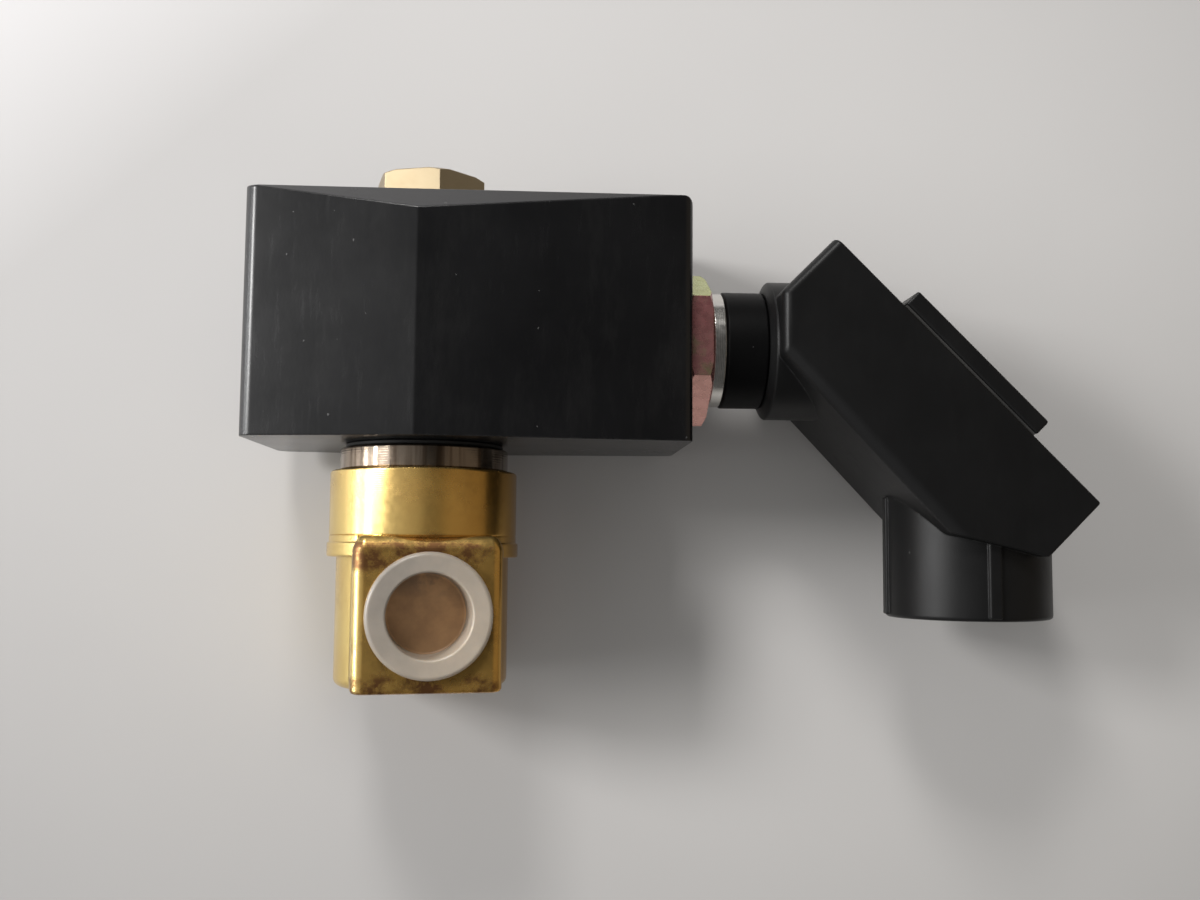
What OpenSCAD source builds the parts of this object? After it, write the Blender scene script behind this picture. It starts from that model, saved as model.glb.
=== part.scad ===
// Two-way solenoid valve with an encapsulated coil and a swivelling conduit elbow.
// Millimetres. +Z up along the valve axis. The origin is on that axis, on the brass body's underside.
// +X runs from the valve axis towards the conduit elbow, and -Y is the front.

/* [Valve body] */
// Turn of the brass body about the valve axis, seen from above
body_turn = 9.5; // [-30:0.5:30]
// Width of the port block
block_w = 24.4; // [22:0.2:26]
// Length of the port block from port face to port face
block_l = 31.4; // [30.8:0.2:34]
// Radius of the round waist behind the port faces
waist_r = 14.8; // [14.2:0.1:15.3]
// Radius of the round collar
collar_r = 16.1; // [15.6:0.1:17]
// Height of the port block
block_h = 25.4; // [24.2:0.1:26]
// Height of the collar's top face
collar_top = 36.5; // [36:0.5:38]
// Height of the port axis above the underside
port_z = 12.5; // [11.8:0.1:12.9]
// Wall radius of the 3/8 inch pipe thread, drawn plain
port_r = 7.5; // [7:0.05:7.6]
// Depth of each port's thread
port_depth = 10; // [9:0.5:10]
// Radius of the orifice
orifice_r = 2.5; // [1.2:0.1:2.6]

/* [Armature] */
// Outer radius of the guide tube
tube_r = 7.2; // [7.1:0.05:7.3]
// Travel of the plunger
stroke = 2.5; // [1:0.1:3]
// Number of turns in the return spring
spring_turns = 7; // [5:1:9]

/* [Coil] */
// Distance from the valve axis to the coil's free end
coil_back = 28.8; // [26:0.2:32]
// Distance from the valve axis to the coil's conduit end
coil_front = 45.3; // [43.5:0.1:45.6]
// Depth of the coil at both ends
coil_depth = 32.4; // [32:0.2:36]
// How far each side's ridge stands out past the ends
ridge = 4.5; // [3:0.1:6]
// Height of the coil
coil_h = 41.3; // [40.5:0.1:41.5]
// Drop of the sloped top at the ridge
top_drop = 4.4; // [2:0.1:5]
// Width across the flats of the coil nut
nut_af = 17.5; // [16:0.5:18]

/* [Conduit elbow] */
// Height of the conduit axis
conduit_z = 59; // [58:0.5:61]
// Width across the flats of the conduit nipple
nipple_af = 23.8; // [22:0.2:25]
// Distance from the valve axis to the elbow's downward hub
hub_x = 96.6; // [96.2:0.1:98]
// Length of the elbow's diagonal box
box_len = 62.4; // [61:0.2:63]
// Depth of the elbow's box
box_depth = 32; // [31:0.2:34]
// Wall radius of the 1/2 inch conduit thread, drawn plain
hub_thread_r = 9.3; // [9.2:0.1:10.4]
// Outer radius of the downward hub, without its ribs
hub_r = 14.3; // [13.8:0.1:15]

/* [Hidden] */
$fn = 96;
overlap = 0.01;
gap = 0.02;  // between touching pieces

brass = [0.80, 0.62, 0.24];
steel = [0.72, 0.72, 0.70];
iron = [0.58, 0.59, 0.60];
black = [0.10, 0.10, 0.10];
rubber = [0.05, 0.05, 0.05];

// ---------- helpers ----------
function unit(v) = v/norm(v);

// A polygon's corners, each rounded to its own radius by an arc of `steps` chords.
function rounded(points, radii, steps = 6) = [for (i = [0:len(points)-1])
  let (
    corner = points[i],
    radius = radii[i],
    to_last = unit(points[(i+len(points)-1)%len(points)]-corner),
    to_next = unit(points[(i+1)%len(points)]-corner),
    angle = acos(to_last*to_next),
    setback = radius/tan(angle/2),
    centre = corner + unit(to_last+to_next)*(radius/sin(angle/2)),
    from = corner + to_last*setback - centre,
    to = corner + to_next*setback - centre,
    start = atan2(from[1], from[0]),
    sweep = ((atan2(to[1], to[0])-start+540)%360)-180
  )
  each radius <= 0 ? [corner]
    : [for (k = [0:steps]) let (a = start+sweep*k/steps) centre + radius*[cos(a), sin(a)]]];

// A polygon with every side moved in by `distance`.
function inset(points, distance) = [for (i = [0:len(points)-1])
  let (
    corner = points[i],
    to_last = unit(points[(i+len(points)-1)%len(points)]-corner),
    to_next = unit(points[(i+1)%len(points)]-corner)
  )
  corner + unit(to_last+to_next)*(distance/sin(acos(to_last*to_next)/2))];

function rectangle(x0, x1, y0, y1) = [[x0, y0], [x1, y0], [x1, y1], [x0, y1]];

// A turned solid from [radius, height] pairs.
module turned(profile) { rotate_extrude() polygon(profile); }
module ring(outer, inner, z0, z1) { turned(rectangle(inner, outer, z0, z1)); }
module rod(r, z0, z1) { translate([0, 0, z0]) cylinder(r = r, h = z1-z0); }
module cone(r0, r1, z, h) { translate([0, 0, z]) cylinder(r1 = r0, r2 = r1, h = h); }
module o_ring(mid_r, z, section_r, sides) {
  rotate_extrude() translate([mid_r, z]) circle(r = section_r, $fn = sides);
}

// A hexagon with both ends' corners turned off.
module hex(af, z0, z1, turn, corner = 0.9) {
  corner_r = af/2/cos(30);
  outer = corner_r+0.2;
  inner = corner_r-corner;
  bevel = (corner+0.2)*0.55;
  intersection() {
    rotate([0, 0, turn]) translate([0, 0, z0]) cylinder(r = corner_r, h = z1-z0, $fn = 6);
    turned([[0, z0], [inner, z0], [outer, z0+bevel], [outer, z1-bevel], [inner, z1], [0, z1]]);
  }
}

// Local +Z runs along +X on the conduit axis, with local x along +Y and local y up.
module along_x() { translate([0, 0, conduit_z]) rotate([90, 0, 90]) children(); }
module body_frame() { rotate([0, 0, body_turn]) children(); }
// Local +Z runs along -Y on the port axis.
module from_front() { translate([0, 0, port_z]) rotate([90, 0, 0]) children(); }

// ---------- valve body ----------
port_face = block_l/2;
block_bevel = 2.1;      // height of the bevel round the block's top
band_depth = 22.8;
chamber_z = 22;
seat_z = 24.4;
flange_z = 28.5;        // underside of the guide tube's flange
flange_top = 30.1;
groove_r = [8.95, 10.4];  // seal groove, inner and outer
groove_depth = 1.2;
bonnet_r = 12;          // bonnet thread, drawn plain
bonnet_top = 40.4;

function block_outline(margin) =
  let (x = block_w/2-margin, y = block_l/2-margin) rounded(rectangle(-x, x, -y, y), [1.8, 1.8, 1.8, 1.8]);

module block_slice(height, margin) { linear_extrude(height = height) polygon(block_outline(margin)); }

module body_blank() {
  bevel_z = block_h-block_bevel;
  turned([[0, block_h], [collar_r-0.5, block_h], [collar_r, block_h+0.5],
    [collar_r, collar_top-0.6], [collar_r-0.6, collar_top], [0, collar_top]]);
  // band under the collar, cut flat at front and rear
  intersection() {
    turned([[0, 21.8], [collar_r+0.1, 21.8], [collar_r+0.35, 22.1], [collar_r+0.35, 23.9],
      [collar_r, 24.3], [collar_r, block_h+overlap], [0, block_h+overlap]]);
    translate([-20, -band_depth/2, 20]) cube([40, band_depth, 8]);
  }
  turned([[0, 0], [waist_r-0.8, 0], [waist_r, 0.8], [waist_r, 22], [0, 22]]);
  block_slice(bevel_z, 0);
  translate([0, 0, bevel_z-overlap]) hull() {
    block_slice(overlap, 0);
    translate([0, 0, block_bevel]) block_slice(overlap, 1.2);
  }
}

module valve_body() color(brass) body_frame() difference() {
  body_blank();
  // front and rear ports, each with a countersunk mouth
  for (turn = [0, 180]) rotate([0, 0, turn]) from_front() {
    rod(port_r, port_face-port_depth, port_face+1);
    cone(port_r, port_r+1, port_face-0.9, 1);
  }
  // inlet way up into the chamber
  translate([0, -6.4, 0]) rod(2, port_z, chamber_z+1);
  // outlet way from below the orifice to the rear port
  rotate([0, 0, 180]) from_front() rod(3.2, -2.6, port_face-port_depth+1);
  rod(orifice_r, port_z, port_z+20);
  // chamber round the seat
  difference() {
    rod(8.6, chamber_z, flange_z+1);
    turned([[0, chamber_z-1], [4.2, chamber_z-1], [4.2, chamber_z+1], [3.3, seat_z], [0, seat_z]]);
  }
  // groove for the seal, seat for the tube's flange, thread for the bonnet nut
  ring(groove_r[1], groove_r[0], flange_z-groove_depth, flange_z+1);
  rod(10.7, flange_z, 31);
  rod(bonnet_r, flange_top, collar_top+1);
  cone(bonnet_r, bonnet_r+0.8, collar_top-0.7, 0.8);
}

module bonnet_nut() color(steel) {
  thread_r = bonnet_r-0.05;
  turned([[7.35, 30.2], [thread_r, 30.2], [thread_r, collar_top+overlap], [14.2, collar_top+gap],
    [14.5, collar_top+0.3], [14.5, bonnet_top-0.3], [14.1, bonnet_top], [7.35, bonnet_top]]);
}

module body_o_ring() color(rubber)
  o_ring((groove_r[0]+groove_r[1])/2, flange_z-groove_depth/2, 0.57, 32);

// cap in the front port
module inlet_cap() color([0.92, 0.92, 0.90]) body_frame() from_front()
  turned([[0, port_face-7.5], [7.0, port_face-7.5], [7.4, port_face-7.1], [7.42, port_face+gap],
    [10, port_face+gap], [10.3, port_face+0.3], [10.3, port_face+1.3], [10, port_face+1.6],
    [7.3, port_face+1.6], [6.95, port_face+1.2], [6.75, port_face-6.5], [0, port_face-6.5]]);

// ---------- armature, and the parts that clamp the coil ----------
coil_z = 41.2;
coil_top = coil_z + coil_h;
tube_bore = 6.6;
tube_top = 70;
core_z = 60;            // underside of the fixed core
core_r = tube_bore-gap;
shading_r = [4.1, 5.4];   // groove for the shading ring, inner and outer
shading_depth = 2;
stud_r = 4.95;
washer_top = coil_top+0.82;
plunger_z = seat_z+0.6;
plunger_top = core_z - stroke;
plunger_r = 6.52;
disc_pocket = 3.1;
spring_z = plunger_top-12;  // floor of the spring's pocket
spring_r = 2.55;        // to the middle of the wire
wire_r = 0.32;
spring_end = 0.13;      // part of the spring's length of wire that lies flatter at each end
spring_end_rise = 0.35; // rise rate there, against an even helix

module guide_tube() color([0.78, 0.78, 0.76])
  turned([[tube_bore, flange_z+gap], [10.6, flange_z+gap], [10.6, flange_top],
    [tube_r+0.1, flange_top], [tube_r, flange_top+0.3], [tube_r, tube_top], [tube_bore, tube_top]]);

module fixed_core() color([0.66, 0.67, 0.67]) difference() {
  turned([[0, core_z], [6.4, core_z], [core_r, core_z+0.2], [core_r, tube_top+gap],
    [tube_r, tube_top+gap], [tube_r, coil_top-1], [stud_r, coil_top-1], [stud_r, coil_top+5.2],
    [4.4, coil_top+5.75], [0, coil_top+5.75]]);
  ring(shading_r[1], shading_r[0], core_z-1, core_z+shading_depth);
}

module shading_ring() color([0.80, 0.45, 0.28])
  ring(shading_r[1]-gap, shading_r[0]+gap, core_z+0.05, core_z+shading_depth-gap);

module coil_seal() color(rubber) {
  z0 = bonnet_top+gap;
  z1 = coil_z-gap;
  turned([[tube_r+0.1, z0], [13.3, z0], [13.6, z0+0.18], [13.6, z1-0.18], [13.3, z1],
    [tube_r+0.1, z1]]);
}

module top_washer() color(steel) ring(9.2, 5.1, coil_top+gap, washer_top);

module coil_nut() color(brass) difference() {
  hex(nut_af, washer_top+gap, coil_top+5.9, -15.5);
  rod(stud_r+0.05, coil_top-1, coil_top+9);
}

// Share of the spring's height reached at share t of its turns.
function spring_rise(t) =
  let (end_height = spring_end*spring_end_rise)
  t < spring_end ? t*spring_end_rise
  : t > 1-spring_end ? 1-(1-t)*spring_end_rise
  : end_height + (t-spring_end)*(1-2*end_height)/(1-2*spring_end);

module plunger_spring() color(steel) {
  steps = 16*spring_turns;
  sides = 6;
  z0 = spring_z+wire_r+0.05;
  z1 = core_z-wire_r-0.05;
  points = [for (i = [0:steps], j = [0:sides-1])
    let (
      turn = 360*spring_turns*i/steps,
      around = 360*j/sides,
      r = spring_r+wire_r*cos(around),
      z = z0+(z1-z0)*spring_rise(i/steps)
    )
    [r*cos(turn), r*sin(turn), z+wire_r*sin(around)]];
  faces = concat(
    [for (i = [0:steps-1], j = [0:sides-1]) [i*sides+j, i*sides+(j+1)%sides, (i+1)*sides+j]],
    [for (i = [0:steps-1], j = [0:sides-1])
      [i*sides+(j+1)%sides, (i+1)*sides+(j+1)%sides, (i+1)*sides+j]],
    [[for (j = [sides-1:-1:0]) j]],
    [[for (j = [0:sides-1]) steps*sides+j]]);
  polyhedron(points = points, faces = faces);
}

module plunger() color([0.62, 0.63, 0.64]) difference() {
  turned([[0, plunger_z], [5.9, plunger_z], [plunger_r, plunger_z+0.6],
    [plunger_r, plunger_top-0.4], [6.1, plunger_top], [0, plunger_top]]);
  rod(4.25, seat_z, seat_z+disc_pocket);
  rod(3.3, spring_z, plunger_top+1);
  // slot down each side
  for (turn = [0, 180]) rotate([0, 0, turn]) translate([5.9, -1.2, seat_z]) cube([2, 2.4, 40]);
}

module seal_disc() color([0.16, 0.14, 0.12]) {
  top = seat_z+disc_pocket-0.05;
  turned([[0, seat_z+gap], [3.9, seat_z+gap], [4.22, seat_z+0.4], [4.22, top], [0, top]]);
}

// ---------- coil ----------
coil_bore = tube_r+0.09;
yoke_back = -24;
yoke_len = 40;
yoke_w = 24;
yoke_t = 2.2;
yoke_z = 42.4;
plate_z = 78.3;         // underside of the yoke's top plate
bobbin_z = yoke_z+yoke_t+0.1;
bobbin_top = plate_z-0.1;
bobbin_flange = 1.5;
nipple_r = 7.99;        // conduit thread, drawn plain
lead_end = 70;
lead_places = [[1.7, 1.2], [-1.7, 1.2]];
earth_place = [0, -1.9];

// Outline with a ridge at the middle of each long side.
function coil_outline() = rounded(
  [[-coil_back, -coil_depth/2], [0, -coil_depth/2-ridge], [coil_front, -coil_depth/2],
   [coil_front, coil_depth/2], [0, coil_depth/2+ridge], [-coil_back, coil_depth/2]],
  [2.4, 0.8, 1.5, 1.5, 0.8, 2.4]);

// Yoke's two plates and back leg, every face moved out by `margin`.
module yoke_blank(margin) {
  plate = [yoke_len, yoke_w, yoke_t];
  leg = [yoke_t, yoke_w, plate_z+yoke_t-yoke_z];
  for (part = [[yoke_z, plate], [plate_z, plate], [yoke_z, leg]])
    translate([yoke_back-margin, -yoke_w/2-margin, part[0]-margin])
      cube(part[1]+2*margin*[1, 1, 1]);
}

module coil_housing() color(black) difference() {
  translate([0, 0, coil_z]) linear_extrude(height = coil_h) polygon(coil_outline());
  // sloped tops over both ridges
  for (s = [0, 1]) mirror([0, s, 0]) translate([0, -coil_depth/2, coil_top])
    rotate([atan(top_drop/ridge), 0, 0]) translate([-60, -20, 0]) cube([120, 20, 12]);
  rod(coil_bore, coil_z-1, coil_top+1);
  // pocket round the windings, lead way and thread for the nipple
  rod(15.6, yoke_z+yoke_t, plate_z);
  yoke_blank(0.04);
  along_x() {
    rod(4.2, 14, 40);
    rod(nipple_r+0.03, 34, coil_front+1);
  }
}

module yoke_frame() color(iron) difference() {
  yoke_blank(0);
  rod(coil_bore, 40, 90);
  // room for the separate top plate
  translate([yoke_back+yoke_t+gap, -14, plate_z-overlap]) cube([50, 28, 4]);
}

module yoke_plate() color(iron) difference() {
  inset_x = yoke_t+0.05;
  translate([yoke_back+inset_x, -yoke_w/2, plate_z+gap])
    cube([yoke_len-inset_x, yoke_w, yoke_t-2*gap]);
  rod(coil_bore, 40, 90);
}

module bobbin() color([0.86, 0.84, 0.78]) {
  z0 = bobbin_z+bobbin_flange;
  z1 = bobbin_top-bobbin_flange;
  turned([[7.5, bobbin_z], [15.4, bobbin_z], [15.4, z0], [8.7, z0], [8.7, z1], [15.4, z1],
    [15.4, bobbin_top], [7.5, bobbin_top]]);
}

module winding() color([0.72, 0.38, 0.18]) {
  z0 = bobbin_z+bobbin_flange+0.05;
  z1 = bobbin_top-bobbin_flange-0.05;
  turned([[8.75, z0], [14.6, z0], [14.9, z0+0.35], [14.9, z1-0.35], [14.6, z1], [8.75, z1]]);
}

module lead(place, r, x0, x1) { along_x() translate(place) rod(r, x0, x1); }

module coil_leads() color([0.55, 0.08, 0.07])
  for (place = lead_places) lead(place, 1, 14.95, lead_end);
module earth_lead() color([0.35, 0.55, 0.12]) lead(earth_place, 1, 16.2, lead_end);
module lead_caps() color([0.80, 0.78, 0.70])
  for (place = [each lead_places, earth_place]) lead(place, 1.35, lead_end+gap, 74);

// ---------- conduit nipple ----------
gasket_x = coil_front + 4;
washer_x = gasket_x + 1;
sleeve_x = washer_x + 1.55;
collar_x = hub_x - 37.3;
clip_x = [63.9, 65];    // ends of the retaining ring's groove

module conduit_nipple() color([0.78, 0.66, 0.48]) along_x() difference() {
  union() {
    rod(nipple_r, coil_front-9, coil_front);
    hex(nipple_af, coil_front+gap, gasket_x, 27, 1.1);
    rod(nipple_r, gasket_x-1, clip_x[0]);
    rod(7.2, 63, 65.4);
    rod(nipple_r, clip_x[1], 66.4);
  }
  rod(5, 20, 70);
}

module nipple_gasket() color(rubber) along_x()
  ring(9.2, nipple_r+0.03, gasket_x+gap, washer_x-gap);

module nipple_washer() color([0.85, 0.85, 0.84]) along_x() {
  rim_x = gasket_x+0.03;
  end_x = sleeve_x-0.06;
  turned([[8.05, washer_x], [9.25, washer_x], [9.25, rim_x], [9.6, rim_x],
    [10.1, gasket_x+0.6], [10.1, end_x], [8.05, end_x]]);
}

module retaining_ring() color([0.35, 0.36, 0.38]) along_x() difference() {
  ring(9.3, 7.25, clip_x[0]+gap, clip_x[1]-gap);
  translate([-1.6, 5, 63]) cube([3.2, 6, 3]);
}

// ---------- elbow ----------
// u runs down the elbow's diagonal, v out through its cover;
// both are measured from where the two hub axes cross.
sleeve_bore = 8.06;
hub_z = 11.8;           // underside of the downward hub
cover_v = -7.1;         // the box's face under the cover
cover_u = 0.45;         // middle of the cover
cover_half = 15.5;
screw_offset = 11.6;    // each screw from the middle of the cover
half_len = box_len/2;
// [u, v] corners of the box: square at the cover, cut off at both hub corners
box = [[-half_len, cover_v], [half_len+0.3, cover_v], [half_len+0.3, -20],
  [17.4, -28.8], [-23.6, -27.5], [-half_len, -20]];

// [x, z] from the crossing of the hub axes
function from_uv(u, v) = [(u+v)/sqrt(2), (v-u)/sqrt(2)];

module elbow_prism(points, depth) {
  translate([hub_x, 0, conduit_z]) rotate([90, 0, 0])
    linear_extrude(height = depth, center = true) polygon([for (p = points) from_uv(p[0], p[1])]);
}

// Children at both cover screws, their z = 0 on the box's face and +Z out through the cover.
module at_screws() {
  for (s = [-1, 1]) {
    place = from_uv(cover_u+screw_offset*s, cover_v);
    translate([hub_x+place[0], 0, conduit_z+place[1]]) rotate([0, 45, 0]) children();
  }
}

// [u, v] outline of a layer over the box's face, from v0 to v1 above it
function layer(half, v0, v1) = rectangle(cover_u-half, cover_u+half, cover_v+v0, cover_v+v1);

module elbow_housing() color(black) difference() {
  union() {
    elbow_prism(rounded(box, [for (p = box) 0.8]), box_depth);
    along_x() turned([[0, collar_x], [10.5, collar_x], [12.3, collar_x+0.9],
      [12.3, collar_x+13], [0, collar_x+13]]);
    translate([hub_x, 0, 0]) {
      turned([[0, hub_z], [hub_r-0.4, hub_z], [hub_r, hub_z+0.4], [hub_r, 34.4], [0, 34.4]]);
      // ribs
      for (k = [0:3]) rotate([0, 0, 90*k-2.1])
        translate([hub_r-1, -1.25, hub_z+0.6]) cube([1.6, 2.5, 18]);
    }
  }
  elbow_prism(inset(box, 2.3), box_depth-4.4);
  // opening under the cover
  elbow_prism(rectangle(-8.4, 8.4, cover_v-4, cover_v+1), 23);
  // bores of the two hubs
  along_x() {
    rod(sleeve_bore, collar_x-1, 63.8);
    rod(9.6, 63.3, 70);
  }
  translate([hub_x, 0, 0]) {
    rod(hub_thread_r, 11, 24.4);
    rod(hub_thread_r-1, 24, 38);
    cone(hub_thread_r+1, hub_thread_r, hub_z-0.1, 1);
  }
  at_screws() rod(1.35, -8, 1);
}

module swivel_sleeve() color([0.08, 0.08, 0.08]) along_x() {
  end_x = collar_x-0.03;
  step_x = sleeve_x+3.3;
  turned([[9.0, sleeve_x], [9.9, sleeve_x], [10.35, sleeve_x+0.4], [10.35, collar_x-0.4],
    [10.0, end_x], [sleeve_bore, end_x], [sleeve_bore, step_x], [9.0, step_x]]);
}

module sleeve_o_ring() color(rubber) along_x() o_ring(8.53, sleeve_x+2.6, 0.44, 24);

module elbow_cover() color([0.09, 0.09, 0.09]) difference() {
  elbow_prism(rounded(layer(cover_half, 0.52, 3.6), [0, 0, 0.7, 0.7]), box_depth-0.6);
  at_screws() {
    rod(1.7, -1, 5);
    rod(3.1, 1.9, 5);
  }
}

module cover_gasket() color(rubber) difference() {
  elbow_prism(layer(cover_half-0.3, 0.01, 0.5), box_depth-1.2);
  elbow_prism(rectangle(-8.6, 8.6, cover_v-1, cover_v+1), 23.4);
  at_screws() rod(1.8, -1, 2);
}

module cover_screws() color(steel) at_screws() difference() {
  turned([[0, -6.5], [0.9, -6.5], [1.33, -6], [1.33, 1.95], [2.9, 1.95], [2.9, 2.9],
    [2.3, 3.5], [0, 3.5]]);
  // cross slot
  for (a = [0, 90]) rotate([0, 0, a]) translate([-1.7, -0.3, 2.5]) cube([3.4, 0.6, 2]);
}

valve_body();
bonnet_nut();
guide_tube();
body_o_ring();
fixed_core();
shading_ring();
plunger_spring();
coil_seal();
top_washer();
coil_nut();
plunger();
seal_disc();
coil_housing();
bobbin();
winding();
yoke_frame();
yoke_plate();
coil_leads();
earth_lead();
lead_caps();
conduit_nipple();
nipple_gasket();
nipple_washer();
retaining_ring();
elbow_housing();
swivel_sleeve();
sleeve_o_ring();
elbow_cover();
cover_gasket();
cover_screws();
inlet_cap();
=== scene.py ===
"""A solenoid valve: brass body with a port cap, coil block, and conduit elbow with its cover.

The valve axis is +Z with the brass body at the bottom, and the elbow lies towards +X (right).
It rests with its back on a table whose plane faces -Y. The camera looks along +Y, so front is -Y.
Lengths of the pieces are in mm; materials, lights and the table are in metres.
"""
import math
import bpy
import bmesh
from mathutils import Matrix, Vector


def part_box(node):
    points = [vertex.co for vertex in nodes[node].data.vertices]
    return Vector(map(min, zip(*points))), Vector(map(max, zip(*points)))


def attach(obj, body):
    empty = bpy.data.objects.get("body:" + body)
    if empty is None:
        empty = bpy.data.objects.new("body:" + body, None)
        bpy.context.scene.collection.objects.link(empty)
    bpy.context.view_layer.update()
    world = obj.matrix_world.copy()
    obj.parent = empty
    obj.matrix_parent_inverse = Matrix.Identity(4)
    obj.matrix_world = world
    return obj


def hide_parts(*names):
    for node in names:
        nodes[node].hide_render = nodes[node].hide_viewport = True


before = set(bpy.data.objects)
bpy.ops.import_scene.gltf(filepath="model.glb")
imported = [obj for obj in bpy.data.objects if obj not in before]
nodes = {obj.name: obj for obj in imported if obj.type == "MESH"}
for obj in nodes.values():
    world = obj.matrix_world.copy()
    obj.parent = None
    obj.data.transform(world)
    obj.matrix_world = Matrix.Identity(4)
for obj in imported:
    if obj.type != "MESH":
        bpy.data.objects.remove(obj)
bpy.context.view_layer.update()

MM = 0.001
scene = bpy.context.scene


# ---------------------------------------------------------------- mesh helpers
def build_mesh(name, verts, faces):
    mesh = bpy.data.meshes.new(name)
    mesh.from_pydata([tuple(v) for v in verts], [], faces)
    mesh.validate()
    obj = bpy.data.objects.new(name, mesh)
    scene.collection.objects.link(obj)
    bm = bmesh.new()
    bm.from_mesh(mesh)
    bmesh.ops.remove_doubles(bm, verts=bm.verts, dist=1e-7)
    bmesh.ops.recalc_face_normals(bm, faces=bm.faces)
    bm.to_mesh(mesh)
    bm.free()
    return obj


def lathe(name, profile, steps, matrix=None):
    """Turns (radius, height) points about Z. The profile starts and ends on the axis."""
    verts, faces, rows = [], [], []
    for radius, z in profile:
        if radius < 1e-6:
            rows.append([len(verts)])
            verts.append((0, 0, z * MM))
        else:
            rows.append(list(range(len(verts), len(verts) + steps)))
            verts += [(radius * MM * math.cos(2 * math.pi * k / steps),
                       radius * MM * math.sin(2 * math.pi * k / steps), z * MM)
                      for k in range(steps)]
    for row, after in zip(rows, rows[1:]):
        for k in range(steps):
            j = (k + 1) % steps
            if len(row) == 1:
                faces.append((row[0], after[j], after[k]))
            elif len(after) == 1:
                faces.append((row[k], row[j], after[0]))
            else:
                faces.append((row[k], row[j], after[j], after[k]))
    obj = build_mesh(name, verts, faces)
    if matrix is not None:
        obj.data.transform(matrix)
    return obj


def corner_sides(points, i):
    """Corner i of an outline, and the unit directions to its two neighbours."""
    corner = Vector(points[i])
    before = (Vector(points[i - 1]) - corner).normalized()
    after = (Vector(points[(i + 1) % len(points)]) - corner).normalized()
    return corner, before, after


def rounded(points, radii, steps=5):
    """Turns each corner of a 2-D line to its own radius."""
    out = []
    for i, (point, radius) in enumerate(zip(points, radii)):
        if radius <= 0:
            out.append(point)
            continue
        corner, before, after = corner_sides(points, i)
        half = before.angle(after) / 2
        reach = radius / math.tan(half)
        centre = corner + (before + after).normalized() * (radius / math.sin(half))
        first, last = corner + before * reach, corner + after * reach
        start = math.atan2(first.y - centre.y, first.x - centre.x)
        end = math.atan2(last.y - centre.y, last.x - centre.x)
        sweep = (end - start + 3 * math.pi) % (2 * math.pi) - math.pi
        out += [(centre.x + radius * math.cos(start + sweep * k / steps),
                 centre.y + radius * math.sin(start + sweep * k / steps))
                for k in range(steps + 1)]
    return out


def inset(points, distance):
    """Moves every side of a convex outline in."""
    out = []
    for i in range(len(points)):
        corner, before, after = corner_sides(points, i)
        half = before.angle(after) / 2
        moved = corner + (before + after).normalized() * (distance / math.sin(half))
        out.append((moved.x, moved.y))
    return out


def rectangle(x0, y0, x1, y1):
    return [(x0, y0), (x1, y0), (x1, y1), (x0, y1)]


def upright(point, z):
    """A point of a horizontal outline, in mm, as a place in metres."""
    return Vector((point[0] * MM, point[1] * MM, z * MM))


def loft(name, rings):
    """Skins rings of equal count, given in metres, and closes both ends."""
    count = len(rings[0])
    verts = [v for ring in rings for v in ring]
    faces = [tuple(range(count))[::-1], tuple(range(len(verts) - count, len(verts)))]
    for low in range(0, len(verts) - count, count):
        for k in range(count):
            j = (k + 1) % count
            faces.append((low + k, low + j, low + count + j, low + count + k))
    return build_mesh(name, verts, faces)


def prism(name, outline, start, end, place):
    """Extrudes an outline; place(point, depth) carries it into space."""
    return loft(name, [[place(point, depth) for point in outline] for depth in (start, end)])


def bake(obj):
    """Applies every modifier."""
    graph = bpy.context.evaluated_depsgraph_get()
    mesh = bpy.data.meshes.new_from_object(obj.evaluated_get(graph), depsgraph=graph)
    old = obj.data
    obj.modifiers.clear()
    obj.data = mesh
    bpy.data.meshes.remove(old)
    return obj


def bevel(obj, width, angle=30):
    mod = obj.modifiers.new("edge", "BEVEL")
    mod.width = width * MM
    mod.segments = 3
    mod.limit_method = "ANGLE"
    mod.angle_limit = math.radians(angle)
    mod.harden_normals = False
    return bake(obj)


def combine(obj, others, operation="DIFFERENCE"):
    """Applies the others to obj one by one and removes them."""
    for other in others:
        mod = obj.modifiers.new("cut", "BOOLEAN")
        mod.operation = operation
        mod.solver = "EXACT"
        mod.object = other
        bake(obj)
        bpy.data.objects.remove(other)
    return obj


def tidy(obj, angle, weighted=True):
    """Cleans the mesh, smooths its round faces and keeps its corners."""
    bm = bmesh.new()
    bm.from_mesh(obj.data)
    bmesh.ops.remove_doubles(bm, verts=bm.verts, dist=2e-6)
    bmesh.ops.dissolve_degenerate(bm, dist=1e-6, edges=bm.edges)
    bm.to_mesh(obj.data)
    bm.free()
    for face in obj.data.polygons:
        face.use_smooth = True
    obj.data.set_sharp_from_angle(angle=math.radians(angle))
    if weighted:
        mod = obj.modifiers.new("normals", "WEIGHTED_NORMAL")
        mod.keep_sharp = True
        mod.weight = 80
        bake(obj)
    return obj


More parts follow.
